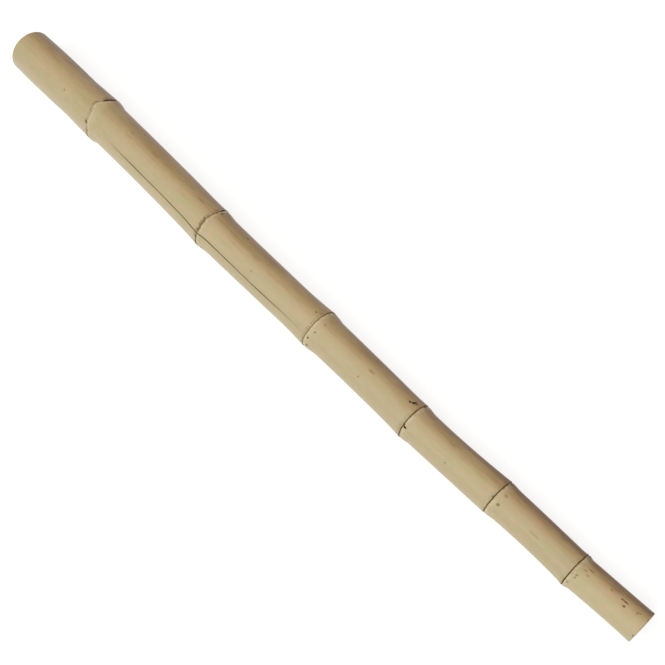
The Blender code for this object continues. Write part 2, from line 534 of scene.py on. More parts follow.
class Recipe:
    """The nodes of one material or sky, added one by one."""

    cell_randomness: float = 0.9

    def __init__(self, owner: bpy.types.Material | bpy.types.World) -> None:
        """Starts from the nodes that a new material or sky has.

        Args:
            owner: The material or sky.
        """
        owner.use_nodes = True
        self.owner = owner
        self.tree = owner.node_tree

    @classmethod
    def for_surface(cls, name: str) -> "Recipe":
        """Starts a new material."""
        return cls(bpy.data.materials.new(name))

    @property
    def shader(self) -> bpy.types.ShaderNode:
        """The material's shader."""
        return self.tree.nodes["Principled BSDF"]

    def add(
        self,
        kind: str,
        settings: dict[str, Any] | None = None,
        sockets: dict[int | str, Any] | None = None,
    ) -> bpy.types.ShaderNode:
        """Adds a node.

        Args:
            kind: The node's type.
            settings: Its settings, which are set first.
            sockets: Values or links by the socket's name or number.

        Returns:
            The node.
        """
        node = self.tree.nodes.new(kind)
        for name, value in (settings or {}).items():
            setattr(node, name, value)
        for name, value in (sockets or {}).items():
            self.feed(node.inputs[name], value)
        return node

    def feed(self, socket: Socket, value: Any) -> None:
        """Links a signal or a socket to a socket, or sets its number or colour.

        Args:
            socket: The socket that is fed.
            value: The signal, socket, number or colour.
        """
        source = value.socket if isinstance(value, Signal) else value
        if isinstance(source, Socket):
            self.tree.links.new(source, socket)
        else:
            socket.default_value = source

    def attribute(self, name: str) -> Signal:
        """A number that the piece's mesh holds at its points."""
        node = self.add("ShaderNodeAttribute", {"attribute_name": name})
        return Signal(self, node.outputs["Fac"])

    def stem_place(self) -> Socket:
        """The place on the stem that the mesh holds at its points, in millimetres."""
        node = self.add("ShaderNodeAttribute", {"attribute_name": "stem_place"})
        return node.outputs["Vector"]

    def parts(self, vector: Socket) -> tuple[Signal, ...]:
        """The three numbers of a vector."""
        node = self.add("ShaderNodeSeparateXYZ", None, {0: vector})
        return tuple(Signal(self, part) for part in node.outputs)

    def vector(self, operation: str, *values: Any) -> bpy.types.ShaderNode:
        """Adds a Vector Math node on these values."""
        return self.add("ShaderNodeVectorMath", {"operation": operation}, dict(enumerate(values)))

    def pattern(self, place: Socket, grain: Grain) -> bpy.types.ShaderNode:
        """Adds soft noise, as a number and as a colour, with parts from 0 to 1.

        Args:
            place: The place on the stem.
            grain: The size of the noise's steps and its detail.

        Returns:
            The noise's node.
        """
        steps = (1 / grain.along, 1 / grain.across, 1 / grain.across)
        sockets = {
            "Vector": self.vector("MULTIPLY", place, steps).outputs[0],
            "Scale": 1.0,
            "Detail": grain.detail,
            "Roughness": grain.roughness,
        }
        return self.add("ShaderNodeTexNoise", None, sockets)

    def noise(self, place: Socket, grain: Grain) -> Signal:
        """Soft noise from 0 to 1 with a grain's steps."""
        return Signal(self, self.pattern(place, grain).outputs[0])

    def cells(self, place: Socket, along: float, across: float) -> Signal:
        """Measures how far it is to the nearest of many scattered points.

        Args:
            place: The place on the stem.
            along: How far apart the points are along the stem.
            across: How far apart they are across it.

        Returns:
            The distance, as a share of the one between points.
        """
        steps = self.vector("MULTIPLY", place, (1 / along, 1 / across, 1 / across)).outputs[0]
        sockets = {"Vector": steps, "Scale": 1.0, "Randomness": self.cell_randomness}
        return Signal(self, self.add("ShaderNodeTexVoronoi", None, sockets).outputs["Distance"])

    def ranged(self, value: Signal, low: float, high: float, first: float, last: float) -> Signal:
        """Turns one range of a signal softly into another, held at both ends.

        Args:
            value: The signal.
            low: Where its range starts.
            high: Where its range ends.
            first: What it becomes at the start.
            last: What it becomes at the end.

        Returns:
            The new signal.
        """
        ends = {"From Min": low, "From Max": high, "To Min": first, "To Max": last}
        settings = {"interpolation_type": "SMOOTHSTEP"}
        node = self.add("ShaderNodeMapRange", settings, {"Value": value, **ends})
        return Signal(self, node.outputs["Result"])

    def mix(self, mask: Signal | float, under: Any, over: Any, blend: str = "MIX") -> Socket:
        """Lays one colour over another.

        Args:
            mask: How much of the upper colour shows.
            under: The lower colour.
            over: The upper colour.
            blend: How the two are blended.

        Returns:
            The colour's socket.
        """
        settings = {"data_type": "RGBA", "blend_type": blend, "clamp_factor": True}
        sockets = {0: mask, 6: self.opaque(under), 7: self.opaque(over)}
        return self.add("ShaderNodeMix", settings, sockets).outputs[2]

    def lighten(self, colour: Any, amount: Signal) -> Socket:
        """Multiplies a colour by a signal.

        Args:
            colour: The colour.
            amount: The signal, which makes it lighter over 1 and darker under 1.

        Returns:
            The colour's socket.
        """
        sockets = {"X": amount, "Y": amount, "Z": amount}
        grey = self.add("ShaderNodeCombineXYZ", None, sockets).outputs[0]
        return self.mix(1.0, colour, grey, "MULTIPLY")

    @staticmethod
    def opaque(colour: Any) -> Any:
        """A colour of three numbers with its alpha, and anything else as it is."""
        return (*colour, 1.0) if isinstance(colour, tuple) else colour

    def finish(self, colour: Any, roughness: Any, relief: Signal) -> bpy.types.Material:
        """Feeds the shader.

        Args:
            colour: The base colour.
            roughness: The roughness.
            relief: The height of the fine relief, in millimetres.

        Returns:
            The finished material.
        """
        bump = self.add("ShaderNodeBump", None, {"Strength": 1.0, "Distance": MM, "Height": relief})
        self.feed(self.shader.inputs["Base Color"], self.opaque(colour))
        self.feed(self.shader.inputs["Roughness"], roughness)
        self.feed(self.shader.inputs["Normal"], bump.outputs[0])
        return self.owner


@dataclass(frozen=True)
class DriedSkin:
    """The straw-coloured, satin skin, with its joints' lines and bands, its crack and its marks,
    and painted shade that browns and darkens it towards +Y, partly its own tanned side.

    thin_half and last_span say where along the stem the skin changes towards the thin end, and
    line_middle how far past a ledge its dark line runs. Each relief is a height in millimetres.
    """

    form: StemForm
    straw: Colour = (0.505, 0.398, 0.218)
    green_straw: Colour = (0.492, 0.403, 0.210)
    pink_straw: Colour = (0.526, 0.402, 0.230)
    pink_dapple: Colour = (1.055, 0.975, 1.020)
    green_dapple: Colour = (0.965, 1.015, 0.955)
    # Painted light and shade round the stem: a cooler straw on the lit side, then a warmer straw, a
    # tan and a dark brown towards +Y, away from the lamp. The dark brown also colours grime spots
    # there.
    lit_straw: Colour = (0.472, 0.395, 0.234)
    half_shade_straw: Colour = (0.545, 0.393, 0.213)
    shade_tan: Colour = (0.364, 0.227, 0.080)
    shade_and_grime_brown: Colour = (0.230, 0.122, 0.066)
    # The waxy band's pale, also laid as a painted highlight along the crack's edges.
    waxy_band_and_glint: Colour = (0.610, 0.500, 0.310)
    rusty_halo: Colour = (0.285, 0.155, 0.036)
    ring_brown: Colour = (0.165, 0.080, 0.022)
    ring_black: Colour = (0.036, 0.014, 0.003)
    # The crack's dark line: painted shade in its narrow gap.
    crack_shade_olive: Colour = (0.140, 0.112, 0.030)
    # The pale ridge past each ledge's line: its own paler tissue and a painted highlight.
    ridge_pale_and_highlight: Colour = (0.680, 0.570, 0.370)
    fleck_brown: Colour = (0.270, 0.180, 0.085)
    blotches: Grain = Grain(24, 7.5)
    clouds: Grain = Grain(75, 18, detail=1)
    fibres: Grain = Grain(55, 0.5)
    threads: Grain = Grain(16, 0.17, detail=1)
    crumbs: Grain = Grain(1.3, 1.7, detail=3, roughness=0.6)
    streaks: Grain = Grain(34, 2)
    dapples: Grain = Grain(8, 4.5, detail=3, roughness=0.55)
    # The pattern of brown spots on the shaded side: patchy painted shade, partly grime.
    shade_and_grime_spots: Grain = Grain(13, 2.6, detail=4, roughness=0.65)
    mottles: Grain = Grain(6, 3, detail=4, roughness=0.6)
    flecks: Grain = Grain(1.9, 0.75, detail=1)
    scratches: Grain = Grain(20, 0.28, detail=0)
    scratched_places: Grain = Grain(30, 9, detail=0)
    ledge_patches: Grain = Grain(9, 3.2, detail=3, roughness=0.6)
    crack_fading: Grain = Grain(26, 60, detail=1)
    mark_raggedness: Grain = Grain(0.9, 0.9)
    mark_wander: float = 0.9
    mark_solid: float = 0.60
    mark_gone: float = 1.30
    thin_half: tuple[float, float] = (300, 560)
    last_span: tuple[float, float] = (546, 562)
    line_middle: float = 0.32
    roughness: float = 0.40
    specular: float = 0.10
    coat: float = 0.40
    coat_roughness: float = 0.33
    fibre_relief: float = 0.030
    thread_relief: float = 0.010
    line_relief: float = 0.10
    crumbly_relief: float = 0.35
    mark_relief: float = 0.10
    fleck_relief: float = 0.03
    marks: tuple[Mark, ...] = (
        *marks_of(
            Tint.SOOT_AND_SHADE,
            # The first soot streak runs 84 long down the thick span's side towards +Y. It is
            # painted shade along that edge.
            (49.0, 10.0, 84.0, 5.0, 0.50), (94.4, 24.0, 2.5, 4.4, 0.95),
            (94.4, 34.0, 2.9, 5.0, 1.00), (94.3, 44.0, 2.6, 4.2, 1.00),
            (94.2, 51.5, 2.0, 2.8, 0.85), (93.9, 125.0, 2.3, 2.7, 0.56),
            (94.4, 162.0, 1.6, 5.0, 0.65), (137.5, 35.5, 1.4, 1.3, 0.80),
            (224.4, 84.6, 1.4, 1.2, 0.95), (225.9, 150.0, 1.8, 7.0, 0.24),
            (226.0, 28.0, 1.6, 7.0, 0.85), (230.4, 168.6, 1.5, 1.4, 0.80),
            (255.9, 37.9, 1.4, 1.3, 0.80), (334.9, 18.0, 1.2, 6.0, 0.60),
            (336.6, 12.0, 2.2, 3.0, 0.75), (337.6, 127.0, 1.5, 1.4, 0.90),
            (338.6, 153.0, 1.8, 1.8, 0.85), (339.4, 102.6, 1.6, 1.5, 0.46),
            (416.0, 56.4, 1.9, 1.4, 0.90), (417.2, 54.5, 1.2, 0.9, 0.60),
            (418.1, 51.5, 2.2, 1.9, 1.00), (418.5, 47.5, 1.7, 1.8, 1.00),
            (418.9, 44.2, 1.2, 1.4, 0.85), (420.2, 47.5, 1.8, 1.1, 0.80),
            (423.8, 113.5, 1.2, 1.6, 0.70), (425.0, 118.0, 2.4, 1.5, 1.00),
            (492.3, 97.0, 1.2, 1.5, 0.60), (494.3, 26.0, 1.9, 2.6, 0.85),
            (554.0, 17.0, 2.2, 3.4, 0.85), (582.4, 63.6, 1.4, 1.1, 0.75),
            (584.6, 63.3, 4.0, 0.8, 0.85), (599.2, 19.0, 1.6, 3.2, 0.70),
            (599.3, 127.0, 1.2, 1.5, 0.50),
        ),
        *marks_of(
            Tint.RUST,
            (94.5, 147.0, 2.4, 5.5, 0.35), (228.6, 40.0, 2.0, 2.0, 0.90),
            (272.6, 65.3, 9.0, 4.0, 0.10), (385.0, 73.0, 5.0, 1.9, 0.27),
            (424.3, 31.0, 1.8, 2.2, 0.85),
        ),
        *marks_of(
            Tint.BROWN,
            (62.9, 104.0, 1.8, 1.5, 0.42), (92.6, 40.0, 4.0, 8.0, 0.30),
            (93.9, 68.0, 1.6, 3.2, 0.40), (93.5, 77.0, 1.8, 3.4, 0.32),
            (93.4, 94.0, 1.8, 2.6, 0.22), (94.3, 135.0, 1.2, 1.4, 0.35),
            (131.9, 60.7, 2.8, 1.5, 0.28), (158.8, 60.0, 9.0, 4.0, 0.11),
            (198.4, 50.6, 7.0, 1.6, 0.15), (211.1, 58.0, 8.0, 1.6, 0.26),
            (225.0, 100.0, 2.6, 9.0, 0.35), (225.4, 117.0, 3.2, 6.0, 0.18),
            (226.6, 75.0, 1.3, 1.1, 0.55), (239.9, 103.2, 1.2, 1.8, 0.12),
            (276.8, 100.0, 1.4, 1.2, 0.38), (329.9, 61.4, 1.8, 1.4, 0.55),
            (332.3, 56.0, 2.6, 0.9, 0.40), (333.1, 52.0, 0.8, 1.4, 0.40),
            (333.2, 84.0, 0.7, 1.2, 0.25), (333.3, 92.0, 0.8, 1.6, 0.38),
            (333.3, 101.0, 0.7, 1.3, 0.30), (333.2, 109.0, 0.8, 1.4, 0.40),
            (334.8, 33.0, 1.0, 8.0, 0.60), (340.9, 69.9, 1.7, 1.6, 0.27),
            (380.7, 108.8, 1.5, 1.3, 0.44), (453.0, 62.0, 5.5, 1.6, 0.22),
            (457.6, 115.9, 1.6, 1.4, 0.30), (497.5, 105.8, 2.1, 2.0, 0.56),
            (497.6, 72.1, 2.2, 2.0, 0.27), (524.2, 99.5, 9.0, 1.6, 0.16),
            (555.0, 136.5, 1.3, 1.4, 0.50), (556.6, 99.0, 1.3, 1.4, 0.44),
            (556.6, 108.5, 1.3, 1.5, 0.40), (557.5, 72.5, 1.3, 1.3, 0.26),
            (558.4, 70.6, 1.9, 1.1, 0.38), (560.7, 59.0, 3.6, 1.0, 0.42),
            (560.9, 78.4, 1.6, 1.4, 0.28), (574.9, 62.9, 2.0, 0.9, 0.50),
            (585.4, 77.4, 1.7, 1.5, 0.80), (593.0, 65.0, 1.1, 3.0, 0.35),
            (594.2, 60.8, 1.8, 0.9, 0.40), (599.5, 60.0, 0.8, 1.6, 0.45),
            (599.5, 95.0, 0.8, 1.2, 0.16),
        ),
    )

    def material(self) -> bpy.types.Material:
        """The skin's material, layer over layer."""
        return SkinLayers(self).material()


class SkinLayers:
    """The skin's colour, relief and gloss, as they are built up layer by layer."""

    def __init__(self, finish: DriedSkin) -> None:
        """Starts from the bare fibres, and from what more than one layer reads.

        Args:
            finish: The skin's colours, patterns and marks.
        """
        self.finish = finish
        self.recipe = Recipe.for_surface("dried bamboo skin")
        self.place = self.recipe.stem_place()
        along = self.recipe.parts(self.place)[0]
        self.thin_half = along.rising(*finish.thin_half)
        self.last_span = along.rising(*finish.last_span)
        self.blotch = self.noise(finish.blotches)
        self.cloud = self.noise(finish.clouds)
        self.fibre = self.noise(finish.fibres)
        self.thread = self.noise(finish.threads)
        self.crumb = self.noise(finish.crumbs)
        uneven = (self.cloud - 0.5) * 0.45 + (self.blotch - 0.5) * 0.25 + (self.fibre - 0.5) * 0.30
        # Grows towards +Y, away from the lamp, where the skin is browned and darkened as painted
        # shade, partly its own tanned side.
        self.shade_share = self.recipe.attribute("shade_side") + uneven + self.thin_half * 0.05
        self.colour: Any = finish.straw
        self.relief = self.fibre * finish.fibre_relief + self.thread * finish.thread_relief
        self.rough = finish.roughness + (self.fibre - 0.5) * 0.16
        self.bare: Signal | float = 0.0

    def noise(self, grain: Grain) -> Signal:
        """One of the finish's patterns, from 0 to 1."""
        return self.recipe.noise(self.place, grain)

    def lay(self, mask: Signal, over: Any, blend: str = "MIX") -> None:
        """Lays a colour over the colour so far, where the mask shows it."""
        self.colour = self.recipe.mix(mask, self.colour, over, blend)

    def lay_ground(self) -> None:
        """Lays the straw's colours, cooler and paler towards -Y where the lamp is, and browner and
        darker towards +Y: painted light and shade, partly the cane's own tanned side.
        """
        finish, shade_share = self.finish, self.shade_share
        streak = self.noise(finish.streaks)
        dapple = self.noise(finish.dapples)
        # The tan streaks, the deep brown edge and the brown spots grow towards +Y as painted shade,
        # and are stronger on the thin half.
        shaded = streak.rising(0.52, 0.72) * (0.15 + shade_share.rising(0.0, 0.8) * 0.35)
        deep_shade = (shade_share + self.thin_half * 0.08).rising(0.66, 1.04)
        shade_and_grime = self.noise(finish.shade_and_grime_spots).rising(0.50, 0.62) * shade_share.rising(0.38, 0.80)
        self.lay(self.blotch.rising(0.42, 0.60), finish.green_straw)
        self.lay(self.cloud.rising(0.45, 0.68), finish.pink_straw)
        # Painted light on the lit side, then painted shade towards +Y.
        self.lay(shade_share.falling(-0.55, 0.0) * 0.85, finish.lit_straw)
        self.lay(shade_share.rising(0.0, 0.35) * 0.85, finish.half_shade_straw)
        self.lay(shade_share.rising(0.22, 0.85) * 0.66, finish.shade_tan)
        self.lay(shaded, finish.shade_tan)
        self.lay(deep_shade * (0.80 + self.thin_half * 0.18), finish.shade_and_grime_brown)
        self.lay(dapple.rising(0.52, 0.68), finish.pink_dapple, "MULTIPLY")
        self.lay(dapple.falling(0.32, 0.48), finish.green_dapple, "MULTIPLY")
        self.lay(shade_and_grime * (0.15 + self.thin_half * 0.35), finish.shade_and_grime_brown)
        tone = 0.80 + self.fibre * 0.12 + self.thread * 0.05 + self.cloud * 0.07
        tone = tone + streak * 0.04 + self.noise(finish.mottles) * 0.16 + self.last_span * 0.06
        self.colour = self.recipe.lighten(self.colour, tone)

    def lay_flecks(self) -> None:
        """Lays small brown flecks and fine scratches, in patches."""
        finish = self.finish
        fleck = self.noise(finish.flecks).rising(0.74, 0.80) * self.blotch.rising(0.45, 0.62)
        scratched = self.noise(finish.scratched_places).rising(0.52, 0.62)
        scratch = self.noise(finish.scratches).rising(0.77, 0.84) * scratched
        self.lay(fleck * 0.55, finish.fleck_brown)
        self.lay(scratch * 0.30, finish.fleck_brown)
        self.relief = self.relief - (fleck + scratch) * finish.fleck_relief

    def lay_ledges(self) -> None:
        """Lays each ledge's waxy band, pale ridge, brown smear and dark line. The pale ridge is
        partly painted highlight.
        """
        finish, crumb = self.finish, self.crumb
        past = self.recipe.attribute("past_ledge")
        near = self.recipe.attribute("ledge_near")
        dark = self.recipe.attribute("ledge_dark") * near
        stain = self.recipe.attribute("ledge_stain") * near
        patchy = self.noise(finish.ledge_patches)
        wander = past + (crumb - 0.5) * 1.1
        band = wander.rising(0.6, 2.0) * wander.falling(2.5, 8.5) * near
        faded = (1 - stain) * (0.10 + patchy.rising(0.35, 0.65) * 0.40)
        # The pale ridge on the groove's rise: partly its own paler tissue, partly painted
        # highlight.
        ridge_and_highlight = wander.rising(0.5, 0.9) * wander.falling(1.4, 3.6) * crumb.rising(0.40, 0.57)
        smear = wander.rising(-3.2, -0.7) * wander.falling(0.3, 1.5) * patchy.rising(0.38, 0.58)
        off_line = abs(past - finish.line_middle + (crumb - 0.5) * (0.4 + stain * 1.2))
        line = off_line.falling(0.10, 0.36) * near
        worn = line * patchy.rising(0.28, 0.52)
        self.lay(band * faded, finish.waxy_band_and_glint)
        self.lay(ridge_and_highlight * near * 0.65, finish.ridge_pale_and_highlight)
        self.lay(smear * stain * 0.50, finish.ring_brown)
        self.lay(off_line.falling(0.30, 0.90) * dark * 0.62, finish.rusty_halo)
        self.lay(worn * stain * 0.80, finish.ring_brown)
        self.lay((line * 0.45 + worn * 0.55) * dark, finish.ring_black)
        crumbly = wander.rising(-1.5, 0.0) * wander.falling(0.8, 2.2) * stain
        height = line * finish.line_relief + crumbly * finish.crumbly_relief
        self.relief = self.relief + crumb * height
        self.rough = self.rough + band * 0.10 + line * 0.25
        self.bare = line.most(self.bare)

    def lay_crack(self) -> None:
        """Lays the drying crack's dark line, painted shade in its gap, and a painted highlight
        glinting along its edges.
        """
        past = self.recipe.attribute("past_crack")
        opened = self.recipe.attribute("crack_open")
        # A painted highlight along the crack's edges.
        glint = past.rising(0.25, 0.5) * past.falling(0.55, 1.2) * self.crumb.rising(0.45, 0.60)
        fading = self.noise(self.finish.crack_fading).rising(0.30, 0.60)
        # The crack's dark line is painted shade in its narrow gap.
        crack = past.falling(0.24, 0.72) * opened * (0.72 + fading * 0.28)
        self.lay(glint * opened * 0.5, self.finish.waxy_band_and_glint)
        self.lay(crack, self.finish.crack_shade_olive)
        self.rough = self.rough + crack * 0.3
        self.bare = crack.most(self.bare)

    def mark_mask(self, place: Socket, marks: Iterable[Mark]) -> Signal:
        """Where marks lie.

        Args:
            place: The place on the stem, made a little ragged.
            marks: The marks of one colour.

        Returns:
            A mask of all of them.
        """
        finish = self.finish
        found: Signal | float = 0.0
        for mark in marks:
            angle = math.radians(mark.angle)
            radius = finish.form.skin_radius(mark.along)
            middle = (mark.along, radius * math.cos(angle), radius * math.sin(angle))
            steps = (2 / mark.length, 2 / mark.width, 2 / mark.width)
            start = tuple(-centre * step for centre, step in zip(middle, steps))
            offset = self.recipe.vector("MULTIPLY_ADD", place, steps, start).outputs[0]
            away = Signal(self.recipe, self.recipe.vector("LENGTH", offset).outputs["Value"])
            ends = (finish.mark_solid, finish.mark_gone)
            found = self.recipe.ranged(away, *ends, mark.strength, 0.0).most(found)
        return found

    def lay_marks(self) -> None:
        """Lays the skin's single spots and streaks, each with a rusty edge."""
        finish, recipe = self.finish, self.recipe
        shake = recipe.pattern(self.place, finish.mark_raggedness).outputs["Color"]
        reach = (finish.mark_wander,) * 3
        half = (finish.mark_wander / 2,) * 3
        shaken = recipe.vector("MULTIPLY_ADD", shake, reach, self.place).outputs[0]
        place = recipe.vector("SUBTRACT", shaken, half).outputs[0]
        pitted: Signal | float = 0.0
        for tint in Tint:
            mask = self.mark_mask(place, [mark for mark in finish.marks if mark.tint is tint])
            mask = mask * (0.70 + self.crumb * 0.55)
            self.lay(mask.rising(0.0, 0.7) * 0.5, finish.rusty_halo)
            self.lay(mask, tint.value)
            pitted = mask.most(pitted)
        self.relief = self.relief - pitted * finish.mark_relief
        self.bare = pitted.most(self.bare)

    def material(self) -> bpy.types.Material:
        """Lays every layer, and the gloss that the lines, the crack and the marks don't have.

        Returns:
            The finished material.
        """
        self.lay_ground()
        self.lay_flecks()
        self.lay_ledges()
        self.lay_crack()
        self.lay_marks()
        dull = self.shade_share.rising(0.45, 0.90) * (0.20 + self.thin_half * 0.75)
        coat = (1 - self.bare) * (1 - dull) * self.finish.coat
        inputs = self.recipe.shader.inputs
        self.recipe.feed(inputs["Specular IOR Level"], self.finish.specular)
        self.recipe.feed(inputs["Coat Weight"], coat)
        self.recipe.feed(inputs["Coat Roughness"], self.finish.coat_roughness)
        return self.recipe.finish(self.colour, self.rough, self.relief)


@dataclass(frozen=True)
class SawnWood:
    """The sawn face of the tube's wall: pale ground tissue full of fibre bundles."""

    pale: Colour = (0.640, 0.520, 0.330)
    bundle: Colour = (0.250, 0.165, 0.085)
    rind: Colour = (0.400, 0.310, 0.150)
    dirt: Colour = (0.420, 0.345, 0.240)
    bundle_length: float = 4.0
    close_bundles: float = 0.48
    wide_bundles: float = 0.95
    clouds: Grain = Grain(6, 5)
    grains: Grain = Grain(1, 0.3)
    saw_lines: tuple[float, float, float] = (0.2, 0.10, 2.1)
    saw_grain: Grain = Grain(1, 1, detail=1)
    roughness: float = 0.72
    saw_relief: float = 0.16
    grain_relief: float = 0.06
    bundle_relief: float = 0.05

    def material(self) -> bpy.types.Material:
        """Makes the sawn face's material.

        Returns:
            The material.
        """
        recipe = Recipe.for_surface("sawn bamboo")
        place = recipe.stem_place()
        share = recipe.attribute("wall_share")
        close = recipe.cells(place, self.bundle_length, self.close_bundles).falling(0.20, 0.42)
        wide = recipe.cells(place, self.bundle_length, self.wide_bundles).falling(0.22, 0.40)
        bundles = close * share.rising(0.45, 0.75) + wide * share.falling(0.45, 0.75)
        cloud = recipe.noise(place, self.clouds)
        grain = recipe.noise(place, self.grains)
        sawn = recipe.vector("MULTIPLY", place, self.saw_lines).outputs[0]
        saw = recipe.noise(sawn, self.saw_grain)
        colour = recipe.lighten(self.pale, 0.80 + grain * 0.22 + saw * 0.16)
        colour = recipe.mix(cloud.rising(0.45, 0.75) * 0.45, colour, self.dirt)
        colour = recipe.mix(bundles * 0.75, colour, self.bundle)
        colour = recipe.mix(share.rising(0.88, 0.97) * 0.8, colour, self.rind)
        relief = saw * self.saw_relief + grain * self.grain_relief - bundles * self.bundle_relief
        return recipe.finish(colour, self.roughness + grain * 0.12, relief)


@dataclass(frozen=True)
class HollowLining:
    """The papery lining of the hollow and the wall across it."""

    pale: Colour = (0.660, 0.570, 0.400)
    tan: Colour = (0.480, 0.360, 0.210)
    wrinkles: Grain = Grain(14, 0.9, detail=3)
    blotches: Grain = Grain(12, 5)
    flakes: Grain = Grain(1.5, 1.5, detail=3)
    roughness: float = 0.62
    wrinkle_relief: float = 0.22
    flake_relief: float = 0.08

    def material(self) -> bpy.types.Material:
        """Makes the lining's material.

        Returns:
            The material.
        """
        recipe = Recipe.for_surface("hollow lining")
        place = recipe.stem_place()
        wrinkle = recipe.noise(place, self.wrinkles)
        blotch = recipe.noise(place, self.blotches)
        flake = recipe.noise(place, self.flakes)
        colour = recipe.lighten(self.pale, 0.78 + wrinkle * 0.30 + flake * 0.10)
        colour = recipe.mix(blotch.rising(0.48, 0.72) * 0.6, colour, self.tan)
        relief = wrinkle * self.wrinkle_relief + flake * self.flake_relief
        return recipe.finish(colour, self.roughness + flake * 0.15, relief)


@dataclass(frozen=True)
class Culm:
    """The cane: one tube, modelled loop by loop from the wall in one joint to that in another."""

    form: StemForm = StemForm()
    crack: DryingCrack = DryingCrack()
    name: str = "bamboo_culm"
    columns: int = 160
    finest_step: float = 0.09
    step_growth: float = 0.14
    widest_step: float = 2.3
    edge_break: float = 0.5
    edge_steps: int = 4
    inner_edge_break: float = 0.3
    rim_steps: int = 7
    inner_wall_half: float = 1.6
    inner_wall_fillet: float = 3.0
    inner_wall_bulge: float = 0.5
    fillet_steps: int = 7
    hollow_step: float = 6.0
    wall_steps: int = 6
    ledge_view: float = 13.0
    lining_taper: float = 0.05
    merge_distance: float = 1e-6

    def skin_places(self) -> list[float]:
        """Where the skin's loops lie along the stem: close at the joints and ends, wide between.

        Returns:
            The places, from one edge of the skin to the other.
        """
        first, last = self.edge_break, self.form.length - self.edge_break
        fixed = [first, *(ledge.along for ledge in self.form.ledges), last]
        places = [first]
        for start, end in zip(fixed, fixed[1:]):
            steps: list[float] = []
            done = 0.0
            while done < (end - start) / 2:
                steps.append(min(self.finest_step + self.step_growth * done, self.widest_step))
                done += steps[-1]
            scale = (end - start) / 2 / done
            for step in steps + steps[::-1]:
                places.append(places[-1] + step * scale)
            places[-1] = end
        return places

    def skin_loops(self) -> list[Loop]:
        """Makes the loops of the skin.

        Returns:
            The loops, from the thick end to the thin end.
        """
        return [
            Loop(along, self.form.skin_radius(along), Zone.SKIN, on_skin=True)
            for along in self.skin_places()
        ]

    def edge_loops(self, sawn_end: float, inward: int) -> list[Loop]:
        """The loops of a sawn end's face, from the hollow's edge out to the skin's.

        Args:
            sawn_end: Where the cut is along the stem.
            inward: 1 where the stem lies towards +X of the cut, and -1 towards -X.

        Returns:
            The loops of the inner edge, the face and the broken outer edge.
        """
        inner = self.form.hollow_radius(sawn_end)
        outer = self.form.skin_radius(sawn_end + inward * self.edge_break)
        face_start = inner + self.inner_edge_break
        face_end = outer - self.edge_break
        loops = [Loop(sawn_end + inward * self.inner_edge_break, inner, Zone.SAWN, wall_share=0.0)]
        for step in range(self.rim_steps + 1):
            share = step / self.rim_steps
            radius = face_start + (face_end - face_start) * share
            loops.append(Loop(sawn_end, radius, Zone.SAWN, wall_share=share))
        for step in range(1, self.edge_steps):
            turn = math.pi / 2 * step / self.edge_steps
            along = sawn_end + inward * self.edge_break * (1 - math.cos(turn))
            radius = face_end + self.edge_break * math.sin(turn)
            loops.append(Loop(along, radius, Zone.SAWN, wall_share=1.0))
        return loops

    def hollow_loops(self, ledge: Joint, sawn_end: float) -> list[Loop]:
        """The loops of an open hollow, from the middle of the wall in its joint out to the cut.

        Args:
            ledge: The ledge whose wall closes the hollow.
            sawn_end: Where the cut is along the stem.

        Returns:
            The loops of the wall, of its fillet and of the lining.
        """
        outward = 1 if sawn_end > ledge.along else -1
        wall_face = ledge.along + outward * self.inner_wall_half
        fillet = self.inner_wall_fillet
        flat = self.form.hollow_radius(wall_face) - fillet
        loops = []
        for step in range(1, self.wall_steps + 1):
            share = step / self.wall_steps
            bulge = self.inner_wall_bulge * (1 - share * share)
            loops.append(Loop(wall_face + outward * bulge, flat * share, Zone.LINING))
        for step in range(1, self.fillet_steps + 1):
            turn = math.pi / 2 * step / self.fillet_steps
            along = wall_face + outward * fillet * (1 - math.cos(turn))
            radius = self.form.hollow_radius(along) - fillet * (1 - math.sin(turn))
            loops.append(Loop(along, radius, Zone.LINING))
        start = loops[-1].along
        end = sawn_end - outward * self.hollow_step / 2
        count = round(abs(end - start) / self.hollow_step)
        for step in range(1, count + 1):
            along = start + (end - start) * step / count
            loops.append(Loop(along, self.form.hollow_radius(along), Zone.LINING))
        return loops

    def loops(self) -> list[Loop]:
        """Lines up every loop: out of the thick end's hollow, along the skin, into the thin end's.

        Returns:
            The loops, each with the finish of the band that follows it.
        """
        length = self.form.length
        out = self.hollow_loops(self.form.ledges[0], 0.0) + self.edge_loops(0.0, 1)
        skin = self.skin_loops()
        skin[-1] = replace(skin[-1], zone=Zone.SAWN, wall_share=1.0)
        thin_cut = self.edge_loops(length, -1)[::-1]
        thin_cut[-1] = replace(thin_cut[-1], zone=Zone.LINING)
        return out + skin + thin_cut + self.hollow_loops(self.form.ledges[-1], length)[::-1]

    def flat_sheet(self, mesh: bmesh.types.BMesh, count: int) -> None:
        """Makes a flat sheet, whose points are whole loops along X and whole columns along Y.

        Args:
            mesh: The mesh that it is made in.
            count: How many loops there are.
        """
        size = Matrix.Diagonal((count - 1, self.columns, 1, 1))
        corner = Matrix.Translation((0.5, 0.5, 0))
        bmesh.ops.create_grid(
            mesh, x_segments=count - 1, y_segments=self.columns, size=0.5, matrix=size @ corner
        )

    def turn_at(self, column: int) -> float:
        """A column's angle past the crack, from -pi to pi."""
        return self.crack.column_offset(column * math.tau / self.columns - math.pi)

